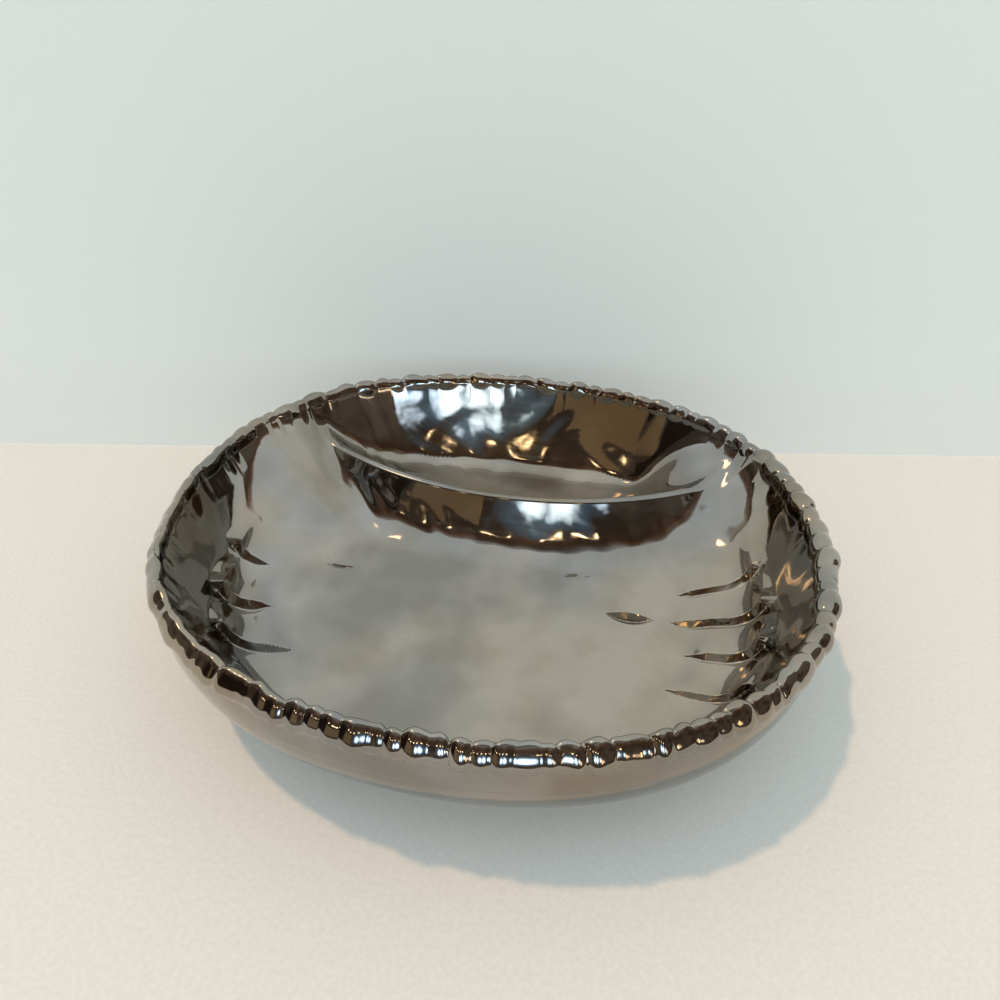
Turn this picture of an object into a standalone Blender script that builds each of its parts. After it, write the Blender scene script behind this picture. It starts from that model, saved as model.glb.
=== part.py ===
"""Chip and dip tray in lustre-glazed porcelain, in metres, +Z up, standing on Z = 0.

A pressed oval dish carries a curved divider, a foot ring and a rim of beads laid on in short strands.
The long axis lies along X, and the dip well lies toward +Y, behind the divider.
"""

import math

import bmesh
import bpy

OBJECT_NAME = "chip_and_dip_tray"

# Rim oval, measured along the centre line of the beads
RIM_LENGTH = 0.302
RIM_WIDTH = 0.262
RIM_SQUARENESS = 0.034

# Dish, as a depth from lip to floor, two wall slopes and the curve that joins wall and floor
DISH_DEPTH = 0.0460
DISH_THICKNESS = 0.0065
CORNER_RADIUS = 0.014
WALL_FOOT_ANGLE = math.radians(60.0)
WALL_TOP_ANGLE = math.radians(72.0)
LIP_INSET = 0.0036
LIP_EASE = 0.0006
WALL_BELLY = 0.0070
BELLY_PEAK = 2.0 / math.sqrt(27.0)

# Foot ring under the floor
FOOT_HEIGHT = 0.0152
FOOT_INSET = 0.0040
FOOT_WIDTH = 0.0075
FOOT_EASE = 0.0010

# Divider, as a circular arc seen from above with its centre behind the tray
DIVIDER_ARC_RADIUS = 0.1932
DIVIDER_ARC_CENTRE = 0.2323
DIVIDER_HALF_SWEEP = math.radians(41.0)
DIVIDER_HEIGHT = 0.0305
CREST_RADIUS = 0.0026
FLANK_RADIUS = 0.150
FLANK_TOP_ANGLE = math.radians(67.0)
FLANK_FOOT_ANGLE = math.radians(55.0)
END_FLARE = 0.60
END_FLARE_START = math.radians(22.0)

# Beads of the rim
STRAND_COUNT = 12
BEADS_PER_STRAND = 8
BEAD_RADIUS = 0.0051
BEAD_VARIATION = 0.16
BEAD_NECK = 0.72
BEAD_SHOULDER = 0.92
BEAD_SEAT_DROP = 0.0024

# Slip joint between pieces that are stuck together
JOINT_GAP = 0.0003

# Fineness of the curved surfaces
ROUND_STEPS = 96
CORNER_STEPS = 5
WALL_STEPS = 4
FLANK_STEPS = 5
DIVIDER_STEPS = 36

# Values that follow from the sizes above
FLOOR_HEIGHT = FOOT_HEIGHT + JOINT_GAP + DISH_THICKNESS
LIP_HEIGHT = FLOOR_HEIGHT + DISH_DEPTH
CREST_HEIGHT = FLOOR_HEIGHT + DIVIDER_HEIGHT
TURNED_RADIUS = (RIM_LENGTH + RIM_WIDTH) / 4.0
CORNER_TOP = FLOOR_HEIGHT + CORNER_RADIUS * (1.0 - math.cos(WALL_FOOT_ANGLE))
WALL_RADIUS = (LIP_HEIGHT - CORNER_TOP) / (math.cos(WALL_FOOT_ANGLE) - math.cos(WALL_TOP_ANGLE))
CORNER_RUN = CORNER_RADIUS * math.sin(WALL_FOOT_ANGLE)
WALL_RUN = WALL_RADIUS * (math.sin(WALL_TOP_ANGLE) - math.sin(WALL_FOOT_ANGLE))
FLAT_RADIUS = TURNED_RADIUS - LIP_INSET - CORNER_RUN - WALL_RUN
BEAD_CENTRE_HEIGHT = LIP_HEIGHT + JOINT_GAP + BEAD_SEAT_DROP


def clear_scene():
    """Removes the objects of the start-up scene."""
    for item in list(bpy.data.objects):
        bpy.data.objects.remove(item, do_unlink=True)


def make_collection(name):
    """A new collection linked to the scene."""
    collection = bpy.data.collections.new(name)
    bpy.context.scene.collection.children.link(collection)
    return collection


def make_material(name, colour, roughness, metallic):
    """A Principled material from a linear colour."""
    material = bpy.data.materials.new(name)
    material.use_nodes = True
    shader = material.node_tree.nodes["Principled BSDF"]
    shader.inputs["Base Color"].default_value = (*colour, 1.0)
    shader.inputs["Roughness"].default_value = roughness
    shader.inputs["Metallic"].default_value = metallic
    return material


def add_object(name, data, collection, material=None):
    """Links a new object that holds this data."""
    item = bpy.data.objects.new(name, data)
    collection.objects.link(item)
    if material is not None:
        item.data.materials.append(material)
    return item


def freeze(item):
    """Replaces an object's data by its evaluated mesh, welded and without modifiers."""
    graph = bpy.context.evaluated_depsgraph_get()
    mesh = bpy.data.meshes.new_from_object(item.evaluated_get(graph))
    form = bmesh.new()
    form.from_mesh(mesh)
    bmesh.ops.remove_doubles(form, verts=form.verts, dist=0.00001)
    bmesh.ops.recalc_face_normals(form, faces=form.faces)
    form.to_mesh(mesh)
    form.free()
    return mesh


def oval_point(turn, radius):
    """Where a point of the turned round goes when it is pressed to the oval of the rim.

    The wall keeps its own run all the way round, and the flat floor is stretched to meet it.
    """
    edge = max(radius, FLAT_RADIUS)
    inset = TURNED_RADIUS - edge
    share = radius / edge
    swell = share * (1.0 + RIM_SQUARENESS * math.sin(2.0 * turn) ** 2)
    across = (RIM_LENGTH / 2.0 - inset) * swell * math.cos(turn)
    along = (RIM_WIDTH / 2.0 - inset) * swell * math.sin(turn)
    return across, along


def turned_oval(name, profile, closed, collection, material=None):
    """Turns a profile of (radius, height) points on Z and presses the round to the rim's oval."""
    mesh = bpy.data.meshes.new(name)
    edges = [(index, index + 1) for index in range(len(profile) - 1)]
    if closed:
        edges.append((len(profile) - 1, 0))
    mesh.from_pydata([(radius, 0.0, height) for radius, height in profile], edges, [])
    item = add_object(name, mesh, collection)
    screw = item.modifiers.new("turn", "SCREW")
    screw.axis = "Z"
    screw.steps = ROUND_STEPS
    screw.render_steps = ROUND_STEPS
    screw.use_merge_vertices = True
    screw.merge_threshold = 0.00001
    pressed = freeze(item)
    for vertex in pressed.vertices:
        turn = math.atan2(vertex.co.y, vertex.co.x)
        radius = math.hypot(vertex.co.x, vertex.co.y)
        vertex.co.x, vertex.co.y = oval_point(turn, radius)
    item.modifiers.clear()
    item.data = pressed
    if material is not None:
        item.data.materials.append(material)
    return item


def dish_curve(lift):
    """The dish's inner side as (radius, height) points from its axis up to the lip.

    A positive lift gives a parallel curve above it, and a negative one the outer side of the wall.
    """
    points = [(0.0, FLOOR_HEIGHT + lift), (FLAT_RADIUS * 0.6, FLOOR_HEIGHT + lift)]
    corner_height = FLOOR_HEIGHT + CORNER_RADIUS
    for step in range(CORNER_STEPS + 1):
        slope = WALL_FOOT_ANGLE * step / CORNER_STEPS
        reach = CORNER_RADIUS - lift
        points.append((FLAT_RADIUS + reach * math.sin(slope), corner_height - reach * math.cos(slope)))
    wall_centre = FLAT_RADIUS + CORNER_RUN - WALL_RADIUS * math.sin(WALL_FOOT_ANGLE)
    wall_height = CORNER_TOP + WALL_RADIUS * math.cos(WALL_FOOT_ANGLE)
    for step in range(1, WALL_STEPS + 1):
        slope = WALL_FOOT_ANGLE + (WALL_TOP_ANGLE - WALL_FOOT_ANGLE) * step / WALL_STEPS
        reach = WALL_RADIUS - lift
        points.append((wall_centre + reach * math.sin(slope), wall_height - reach * math.cos(slope)))
    return points


def fill_out(points):
    """Fills out the wall's outer side, so that it stands steep under the lip and turns in toward the foot."""
    foot = points[0][1]
    top = points[-1][1]
    filled = []
    for radius, height in points:
        drop = (top - height) / (top - foot)
        filled.append((radius + WALL_BELLY * drop * (1.0 - drop ** 2) / BELLY_PEAK, height))
    return filled


def make_dish(collection, material):
    """The pressed oval dish, with a flat land round its lip for the beads."""
    inner = dish_curve(0.0)
    outer = fill_out(dish_curve(-DISH_THICKNESS))
    lip_inner = inner.pop()[0]
    lip_outer = outer.pop()[0]
    land = [
        (lip_inner, LIP_HEIGHT - LIP_EASE),
        (lip_inner + LIP_EASE, LIP_HEIGHT),
        (lip_outer - LIP_EASE, LIP_HEIGHT),
        (lip_outer, LIP_HEIGHT - 2.0 * LIP_EASE),
    ]
    return turned_oval("dish", inner + land + outer[::-1], False, collection, material)


def make_foot_ring(collection, material):
    """The ring the tray stands on, stuck to the flat under the floor."""
    outer = FLAT_RADIUS - FOOT_INSET
    inner = outer - FOOT_WIDTH
    profile = [
        (inner, FOOT_HEIGHT),
        (outer, FOOT_HEIGHT),
        (outer - FOOT_EASE / 2.0, FOOT_EASE),
        (outer - FOOT_EASE * 1.5, 0.0),
        (inner + FOOT_EASE * 1.5, 0.0),
        (inner + FOOT_EASE / 2.0, FOOT_EASE),
    ]
    return turned_oval("foot_ring", profile, True, collection, material)


def make_well_cutter(collection):
    """Everything outside the hollow of the dish, kept one joint away from its inner side."""
    inner = dish_curve(JOINT_GAP)
    reach = TURNED_RADIUS * 1.4
    high = LIP_HEIGHT * 1.4
    low = -LIP_HEIGHT
    profile = inner + [(inner[-1][0], high), (reach, high), (reach, low), (0.0, low)]
    cutter = turned_oval("well_cutter", profile, False, collection)
    cutter.hide_render = True
    cutter.display_type = "WIRE"
    return cutter


def divider_section():
    """Half of the divider's section as (across, up) points, from the middle of its crest down."""
    points = []
    for step in range(4):
        slope = FLANK_TOP_ANGLE * step / 3.0
        points.append((CREST_RADIUS * math.sin(slope), CREST_RADIUS * (math.cos(slope) - 1.0)))
    start_across, start_up = points[-1]
    for step in range(1, FLANK_STEPS + 1):
        slope = FLANK_TOP_ANGLE + (FLANK_FOOT_ANGLE - FLANK_TOP_ANGLE) * step / FLANK_STEPS
        across = start_across + FLANK_RADIUS * (math.sin(FLANK_TOP_ANGLE) - math.sin(slope))
        up = start_up - FLANK_RADIUS * (math.cos(slope) - math.cos(FLANK_TOP_ANGLE))
        points.append((across, up))
    foot_across, foot_up = points[-1]
    base_up = min(foot_up, -DIVIDER_HEIGHT) - DISH_THICKNESS
    points.append((foot_across + (foot_up - base_up) / math.tan(FLANK_FOOT_ANGLE), base_up))
    return points


def make_poly_curve(name, points, closed, collection, radii=None):
    """A curve object with one straight-sided spline through these points."""
    curve = bpy.data.curves.new(name, "CURVE")
    curve.dimensions = "3D"
    curve.twist_mode = "Z_UP"
    curve.use_fill_caps = True
    spline = curve.splines.new("POLY")
    spline.points.add(len(points) - 1)
    spline.use_cyclic_u = closed
    for index, place in enumerate(points):
        spline.points[index].co = (*place, 1.0)
        if radii is not None:
            spline.points[index].radius = radii[index]
    return add_object(name, curve, collection)


def make_divider(collection, cutters, cutter, material):
    """The curved divider: a section swept along an arc, flared at its ends and cut to fit the dish."""
    half = divider_section()
    outline = [(across, up, 0.0) for across, up in half]
    outline += [(-across, up, 0.0) for across, up in half[:0:-1]]
    section = make_poly_curve("divider_section", outline, True, cutters)
    section.hide_render = True
    path = []
    flares = []
    for step in range(DIVIDER_STEPS + 1):
        turn = DIVIDER_HALF_SWEEP * (2.0 * step / DIVIDER_STEPS - 1.0)
        across = DIVIDER_ARC_RADIUS * math.sin(turn)
        along = DIVIDER_ARC_CENTRE - DIVIDER_ARC_RADIUS * math.cos(turn)
        path.append((across, along, CREST_HEIGHT))
        past = max(0.0, abs(turn) - END_FLARE_START) / (DIVIDER_HALF_SWEEP - END_FLARE_START)
        flares.append(1.0 + END_FLARE * past * past)
    sweep = make_poly_curve("divider_sweep", path, False, cutters, flares)
    sweep.data.bevel_mode = "OBJECT"
    sweep.data.bevel_object = section
    divider = add_object("divider", freeze(sweep), collection, material)
    bpy.data.objects.remove(sweep, do_unlink=True)
    fit = divider.modifiers.new("fit_to_dish", "BOOLEAN")
    fit.operation = "DIFFERENCE"
    fit.solver = "EXACT"
    fit.object = cutter
    divider.data = freeze(divider)
    divider.modifiers.clear()
    return divider


def bead_size(index):
    """How large one bead of the rim is, as a share of the mean size, in a hand-made order."""
    return 1.0 + BEAD_VARIATION * math.sin(2.4 * index + 1.3 * math.sin(0.7 * index))


def rim_lengths(samples):
    """Angles round the rim with the length run along it up to each one."""
    turns = []
    lengths = []
    run = 0.0
    before = oval_point(0.0, TURNED_RADIUS)
    for index in range(samples + 1):
        turn = 2.0 * math.pi * index / samples
        place = oval_point(turn, TURNED_RADIUS)
        run += math.dist(before, place)
        before = place
        turns.append(turn)
        lengths.append(run)
    return turns, lengths


def turn_at(length, turns, lengths):
    """The angle at which the rim has run this length, which may lie past a full round."""
    whole = lengths[-1]
    rounds = math.floor(length / whole)
    rest = length - rounds * whole
    low = max(index for index, run in enumerate(lengths) if run <= rest)
    low = min(low, len(lengths) - 2)
    share = (rest - lengths[low]) / (lengths[low + 1] - lengths[low])
    return turns[low] + share * (turns[low + 1] - turns[low]) + 2.0 * math.pi * rounds


def make_strand(name, edges, sizes, turns, lengths, collection, material):
    """One strand of beads: a tube that swells at each bead, cut flat where it sits on the lip.

    The edges are the lengths along the rim at which its beads begin, and at which the last one ends.
    """
    points = []
    radii = []
    for index, size in enumerate(sizes):
        begin, end = edges[index], edges[index + 1]
        for share, swell in ((0.0, BEAD_NECK), (0.2, BEAD_SHOULDER), (0.5, 1.0), (0.8, BEAD_SHOULDER)):
            points.append(begin + share * (end - begin))
            radii.append(size * swell)
    points.append(edges[-1])
    radii.append(sizes[-1] * BEAD_NECK)
    points[0] += JOINT_GAP / 2.0
    points[-1] -= JOINT_GAP / 2.0
    path = []
    for length in points:
        across, along = oval_point(turn_at(length, turns, lengths), TURNED_RADIUS)
        path.append((across, along, BEAD_CENTRE_HEIGHT))
    tube = make_poly_curve(name, path, False, collection, radii)
    tube.data.bevel_depth = BEAD_RADIUS
    tube.data.bevel_resolution = 2
    mesh = freeze(tube)
    bpy.data.objects.remove(tube, do_unlink=True)
    form = bmesh.new()
    form.from_mesh(mesh)
    cut = bmesh.ops.bisect_plane(
        form,
        geom=form.verts[:] + form.edges[:] + form.faces[:],
        plane_co=(0.0, 0.0, LIP_HEIGHT + JOINT_GAP),
        plane_no=(0.0, 0.0, -1.0),
        clear_outer=True,
    )
    rims = [item for item in cut["geom_cut"] if isinstance(item, bmesh.types.BMEdge)]
    bmesh.ops.holes_fill(form, edges=rims, sides=0)
    bmesh.ops.recalc_face_normals(form, faces=form.faces)
    form.to_mesh(mesh)
    form.free()
    return add_object(name, mesh, collection, material)


def make_bead_rim(collection, material):
    """All strands of the rim, end to end round the lip."""
    turns, lengths = rim_lengths(720)
    count = STRAND_COUNT * BEADS_PER_STRAND
    sizes = [bead_size(index) for index in range(count)]
    scale = lengths[-1] / sum(sizes)
    edges = [0.0]
    for size in sizes:
        edges.append(edges[-1] + size * scale)
    for strand in range(STRAND_COUNT):
        first = strand * BEADS_PER_STRAND
        last = first + BEADS_PER_STRAND
        name = f"bead_strand_{strand + 1:02d}"
        make_strand(name, edges[first : last + 1], sizes[first:last], turns, lengths, collection, material)


def build():
    """Makes every piece of the tray."""
    clear_scene()
    pieces = make_collection(OBJECT_NAME)
    cutters = make_collection("cutters")
    lustre = make_material("platinum_lustre_glaze", (0.46, 0.44, 0.40), 0.08, 1.0)
    biscuit = make_material("unglazed_porcelain", (0.80, 0.77, 0.71), 0.75, 0.0)
    make_dish(pieces, lustre)
    make_foot_ring(pieces, biscuit)
    cutter = make_well_cutter(cutters)
    make_divider(pieces, cutters, cutter, lustre)
    make_bead_rim(pieces, lustre)


build()
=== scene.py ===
"""Chip and dip tray: lustre-glazed porcelain with a pinched bead rim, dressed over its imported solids."""

import math

import bmesh
import bpy
import numpy as np
from mathutils import Matrix, Vector


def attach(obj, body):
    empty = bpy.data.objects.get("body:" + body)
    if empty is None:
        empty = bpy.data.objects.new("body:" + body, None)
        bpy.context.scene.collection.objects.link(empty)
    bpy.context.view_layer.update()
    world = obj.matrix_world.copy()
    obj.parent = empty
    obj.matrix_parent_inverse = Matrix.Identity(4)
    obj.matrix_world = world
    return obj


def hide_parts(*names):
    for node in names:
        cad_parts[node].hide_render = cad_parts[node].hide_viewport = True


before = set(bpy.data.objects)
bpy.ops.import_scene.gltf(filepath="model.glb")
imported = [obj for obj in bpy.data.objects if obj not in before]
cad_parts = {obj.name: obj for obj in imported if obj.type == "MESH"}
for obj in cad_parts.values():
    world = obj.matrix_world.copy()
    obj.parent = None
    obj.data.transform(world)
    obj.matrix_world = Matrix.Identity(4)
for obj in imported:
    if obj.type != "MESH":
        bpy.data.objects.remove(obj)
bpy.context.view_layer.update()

MM = 0.001

# ---------------------------------------------------------------- view of the photograph
EYE = Vector((0.0525, -0.2755, 0.2897))
EYE_TURN = math.radians(10.0)
EYE_PITCH = math.radians(37.0)
EYE_ROLL = math.radians(0.76)
EYE_LENS = 27.0
EYE_SENSOR = 36.0
SIGHT = Vector((-math.sin(EYE_TURN), math.cos(EYE_TURN), 0.0))
SIDEWAYS = Vector((math.cos(EYE_TURN), math.sin(EYE_TURN), 0.0))
UPWARD = Vector((0.0, 0.0, 1.0))

# ---------------------------------------------------------------- sizes shared with the solids
RIM_LENGTH = 302 * MM
RIM_WIDTH = 262 * MM
RIM_SQUARENESS = 0.034
TURNED_RADIUS = (RIM_LENGTH + RIM_WIDTH) / 4
FLOOR_HEIGHT = 22 * MM
LIP_HEIGHT = 68 * MM
WALL_THICK = 6.5 * MM
CORNER_RADIUS = 14 * MM
WALL_FOOT = math.radians(60)
WALL_TOP = math.radians(72)
LIP_INSET = 3.6 * MM
WALL_BELLY = 7 * MM
BELLY_PEAK = 2 / math.sqrt(27)
CORNER_TOP = FLOOR_HEIGHT + CORNER_RADIUS * (1 - math.cos(WALL_FOOT))
WALL_RADIUS = (LIP_HEIGHT - CORNER_TOP) / (math.cos(WALL_FOOT) - math.cos(WALL_TOP))
CORNER_RUN = CORNER_RADIUS * math.sin(WALL_FOOT)
WALL_RUN = WALL_RADIUS * (math.sin(WALL_TOP) - math.sin(WALL_FOOT))
LIP_RADIUS = TURNED_RADIUS - LIP_INSET
FLAT_RADIUS = LIP_RADIUS - CORNER_RUN - WALL_RUN
WALL_CENTRE = FLAT_RADIUS + CORNER_RUN - WALL_RADIUS * math.sin(WALL_FOOT)
WALL_CENTRE_HEIGHT = CORNER_TOP + WALL_RADIUS * math.cos(WALL_FOOT)

ARC_RADIUS = 193.2 * MM
ARC_CENTRE = 232.3 * MM
ARC_SWEEP = math.radians(41)
CREST_HEIGHT = 52.5 * MM
CREST_RADIUS = 2.0 * MM
FLANK_RADIUS = 150 * MM
FLANK_TOP = math.radians(67)
FLANK_FOOT = math.radians(55)
DIP_FLANK_RADIUS = 47 * MM
DIP_FLANK_FOOT = math.radians(12)
END_FLARE = 0.75
END_FLARE_START = math.radians(22)
END_FLARE_CURVE = 1.5
END_LIMIT = 1.3

BEAD_COUNT = 96
BEAD_RADIUS = 5.1 * MM
BEAD_HEIGHT = 70.7 * MM
BEAD_HANG = 9 * MM
ROOF_HANG = 2.5 * MM
BEAD_RUN_OUT = 7 * MM
RIB_HEIGHT = 0.9 * MM
# spread of the beads: neck against body, sideways sway, rise and skew, and how far any of them may stray
BEAD_NECK = 0.80
BEAD_NECK_SPREAD = 0.11
BEAD_NECK_RANGE = (0.58, 0.96)
BEAD_SWAY = 0.5 * MM
BEAD_RISE = 0.4 * MM
BEAD_SKEW = 0.16
BEAD_STRAY = 1.5
BEAD_SPAN_SPREAD = 0.30
BEAD_SPAN_FRONT = 0.25
BEAD_SIZE_SPREAD = 0.14
# where points lie along one bead, closer together at its necks
BEAD_POINTS = (0, 0.05, 0.12, 0.21, 0.31, 0.41, 0.5, 0.59, 0.69, 0.79, 0.88, 0.95)
# fillets of the beads into the wall inside and outside, where the rim's skin begins and ends, and how it is
# tucked behind the outer wall there: level and depth in mm
RIM_FILLET_IN = 1.6 * MM
RIM_FILLET_OUT = 1.4 * MM
RIM_SKIN_START = (36.2 * MM, 37 * MM)
RIM_SKIN_TUCK = 1.5 * MM
RIM_HEM = 53 * MM
RIM_TUCKS = ((50, 1.5), (42, 2.2), (34, 3.0))
# heights between which the ribs come in, how far from the rim they end, and how many of the rim's rows
# take the wall's own normals
RIB_BAND = (55 * MM, 68 * MM)
RIB_REACH = (7 * MM, 11 * MM)
SMOOTH_ROWS = 13
# pressed-over section of the front beads: radius of crest, face and hem, and the slopes where they meet
ROOF_RADII = (1.6, 15.0, 7.0)
ROOF_SLOPES = (39, 61)
ROOF_OUT = 0.78
# section of the back beads, whose inner face runs straight down into the wall
BACK_RADII = (2.2, 9.0)
BACK_SLOPES = (45, 74)
BACK_INNER = 0.66

FOOT_HEIGHT = 15.2 * MM
FOOT_OUTER = FLAT_RADIUS - 4 * MM
FOOT_INNER = FOOT_OUTER - 7.5 * MM
FOOT_EASE = 1 * MM

# ---------------------------------------------------------------- hand-made relief of the dressed pieces
# pinched edges from the wall into the floor: turn and lean in degrees, height in mm, how much of it is
# lost on the way, and reach from the rim in mm
PINCHES = (
    (-175.4, 1, 5.4, 0.0, 38),
    (-159.5, 2, 5.6, 0.0, 43),
    (-148, 10, 5.4, 0.4, 48),
    (12, -4.5, 5.6, 0.6, 58),
    (-0.5, -6, 6.0, 0.6, 61),
    (-13.2, -6.5, 6.0, 0.55, 51),
    (-27, -8, 4.4, 0.5, 50),
)
PINCH_SLOPE = 1.45
PINCH_BASE = 18 * MM
PINCH_START = (14 * MM, 22 * MM)
PINCH_TIP = 12
PINCH_BACK = 24 * MM
SCOOP_DEPTH = 0.18
SCOOP_AHEAD = 8 * MM
SCOOP_HALF = 15 * MM
SCOOP_FADE = 22 * MM
SCOOP_SHORT = 4
# nicks in the floor: place on the plan, half length, width and how far its far side bows back, in mm
FLOOR_NICKS = ((70.7, -7, 12, 8, 2.5), (-81.5, 1.5, 8.5, 3, 0.4))
NICK_NEAR_SLOPE = 0.70
NICK_BOTTOM = 0.3 * MM
NICK_EDGE = 0.1 * MM
# hammering of the walls: size of a lump, its depth in mm, and what is added at the back and low down there
LUMP_SIZE = 38 * MM
LUMP_START = (-4 * MM, 14 * MM)
LUMP_LOW_BAND = (5 * MM, 34 * MM)
LUMP_DEPTH = 0.14
LUMP_BACK = 0.06
LUMP_BACK_LOW = 0.24
# dents on the floor: place on the plan, half length, half width and depth, in mm
FLOOR_DENTS = ((42, 18, 6, 2, 0.5), (26, 19, 6, 1.5, 0.3))
# thumb dents on the wall: turn in degrees, then height, half size and depth in mm
WALL_DENTS = ((162.2, 52.5, 5, 1.5), (140, 44, 8, 0.8), (31, 48, 8, 1.0), (48, 40, 7, 0.8))

# worked-out corners where the divider runs into the side walls: turn in degrees, how far the corner falls
# toward the front in mm and over how many degrees, its half width toward the back in degrees, and its pitch
RAMPS = ((157, 34, 26, 23, 0.95), (41, 28, 26, 16, 1.0))
RAMP_TOP = 69 * MM
RAMP_START = 3 * MM
RAMP_FALL = 20 * MM
RAMP_ROUND = 4
RAMP_JOIN_WALL = 8 * MM
RAMP_JOIN_FLOOR = 26 * MM
RAMP_JOIN_BAND = (18 * MM, 45 * MM)
# soft dents of the divider's face, deeper toward its left end
FACE_DENT = 0.3 * MM
FACE_DENT_SIZE = 25 * MM
FACE_DENT_START = (2 * MM, 8 * MM)
FACE_DENT_LEFT = 1.4
FACE_DENT_LEFT_BAND = (40 * MM, 80 * MM)
# rise of the floor along the divider's front, and the fillets at the divider's foot
FLOOR_RISE = 2.8 * MM
FLOOR_RISE_RUN = 14 * MM
FACE_RUN = 18 * MM
FILLET = 10 * MM
END_FILLET = 14 * MM

# how the dressed pieces tuck under each other where they meet
TUCK_LIFT = 0.15 * MM
TUCK_DEPTH = 0.5 * MM
RIM_SINK = 3 * MM
RIM_SINK_BAND = (37.8 * MM, 42 * MM)
DISH_COLUMNS = 800

# ---------------------------------------------------------------- studio
BACKDROP_AHEAD = 443 * MM
BACKDROP_HALF_WIDTH = 0.9
BACKDROP_TALL = 1.1
TABLE_HALF = 3.0
TABLE_NEAR = 0.40
DIM_DISTANCE = 2.6
FOLD_SIZE = 0.7
# frosted bulbs behind the eye: bearing and elevation in degrees, and half their width and height
BULBS = ((170, 26), (184, 27), (199, 25.5), (215, 24), (226, 25))
BULB_HALF = (3, 1.5)

# ---------------------------------------------------------------- sizes of the marks in the finishes
# brush hairs, clay grain and roller grain are finer in life, and are drawn this coarse so that they show
CLOUD_SIZE = 48 * MM
TINT_SIZE = 70 * MM
BRUSH_LENGTH = 34 * MM
BRUSH_WIDTH = 1.6 * MM
BRUSH_TURN = math.radians(35)
HAMMER_SIZE = 7 * MM
HAMMER_DEPTH = 0.5 * MM
CLAY_GRAIN = 1.5 * MM
SPECK_APART = 4 * MM
WEAR_HEIGHT = 16 * MM
ROLLER_GRAIN = 2 * MM


# ================================================================ small helpers

def linear(code):
    """Linear colour of an sRGB hex value, with full alpha."""
    shares = [int(code[i:i + 2], 16) / 255 for i in (1, 3, 5)]
    return (*[s / 12.92 if s <= 0.04045 else ((s + 0.055) / 1.055) ** 2.4 for s in shares], 1.0)


def add(tree, kind, sockets=None, stops=(), **settings):
    """Adds a shader node; a socket given a value is set, one given another socket is linked, and stops are
    the places and colours of a colour ramp."""
    made = tree.nodes.new("ShaderNode" + kind)
    for name, value in settings.items():
        setattr(made, name, value)
    if stops:
        ramp = made.color_ramp
        ramp.interpolation = "EASE"
        for place, _ in stops[2:]:
            ramp.elements.new(place)
        for stop, (place, code) in zip(ramp.elements, stops):
            stop.position = place
            stop.color = linear(code)
    for name, value in (sockets or {}).items():
        if isinstance(value, bpy.types.NodeSocket):
            tree.links.new(value, made.inputs[name])
        else:
            made.inputs[name].default_value = value
    return made


def new_material(name):
    """An empty node material and its tree."""
    material = bpy.data.materials.new(name)
    material.use_nodes = True
    material.node_tree.nodes.clear()
    return material, material.node_tree


def ease(low, high, value):
    """0 below low, 1 above high and a smooth step between."""
    share = np.clip((value - low) / (high - low), 0, 1)
    return share * share * (3 - 2 * share)


def join_high(a, b, reach):
    """The higher of two heights, with a hollow fillet where they meet."""
    gap = np.maximum(reach - np.abs(a - b), 0)
    return np.maximum(a, b) + gap * gap / (4 * reach)


# ================================================================ shape of the tray

def oval(turn, radius):
    """Plan of a turned point after the round is pressed to the rim's oval."""
    edge = np.maximum(radius, FLAT_RADIUS)
    inset = TURNED_RADIUS - edge
    swell = radius / edge * (1 + RIM_SQUARENESS * np.sin(2 * turn) ** 2)
    return (RIM_LENGTH / 2 - inset) * swell * np.cos(turn), (RIM_WIDTH / 2 - inset) * swell * np.sin(turn)


def oval_read(x, y):
    """Turn and turned radius of plan points, the other way round from oval()."""
    def fullness(radius):
        inset = TURNED_RADIUS - radius
        a, b = RIM_LENGTH / 2 - inset, RIM_WIDTH / 2 - inset
        turn = np.arctan2(y / b, x / a)
        return turn, np.hypot(x / a, y / b) / (1 + RIM_SQUARENESS * np.sin(2 * turn) ** 2)

    low = np.full(np.shape(x), FLAT_RADIUS)
    high = np.full(np.shape(x), TURNED_RADIUS * 1.2)
    turn, share = fullness(low)
    for _ in range(26):
        middle = (low + high) / 2
        outside = fullness(middle)[1] > 1
        low, high = np.where(outside, middle, low), np.where(outside, high, middle)
    wall_turn, _ = fullness(low)
    return np.where(share < 1, turn, wall_turn), np.where(share < 1, FLAT_RADIUS * share, low)


def bowl(radius):
    """Height and slope of the plain inner side at a turned radius."""
    corner = np.clip(radius - FLAT_RADIUS, 0, CORNER_RUN)
    wall = np.clip(radius - FLAT_RADIUS - CORNER_RUN, 0, WALL_RUN) + WALL_RADIUS * math.sin(WALL_FOOT)
    above = np.maximum(radius - LIP_RADIUS, 0) * math.tan(WALL_TOP)
    height = FLOOR_HEIGHT + CORNER_RADIUS - np.sqrt(CORNER_RADIUS ** 2 - corner ** 2)
    height += WALL_RADIUS * math.cos(WALL_FOOT) - np.sqrt(WALL_RADIUS ** 2 - wall ** 2) + above
    slope = np.where(radius < FLAT_RADIUS + CORNER_RUN, np.arcsin(corner / CORNER_RADIUS),
                     np.arcsin(wall / WALL_RADIUS))
    return height, slope


def lumps(u, v, size):
    """Soft, irregular hammering of about one lump to a size each way, from -1 to 1."""
    rate = 2 * math.pi / size
    first = np.sin(rate * u + 1.3 * np.sin(0.61 * rate * v + 1.0))
    return first * np.sin(0.9 * rate * v + 1.2 * np.sin(0.57 * rate * u + 2.0))


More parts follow.
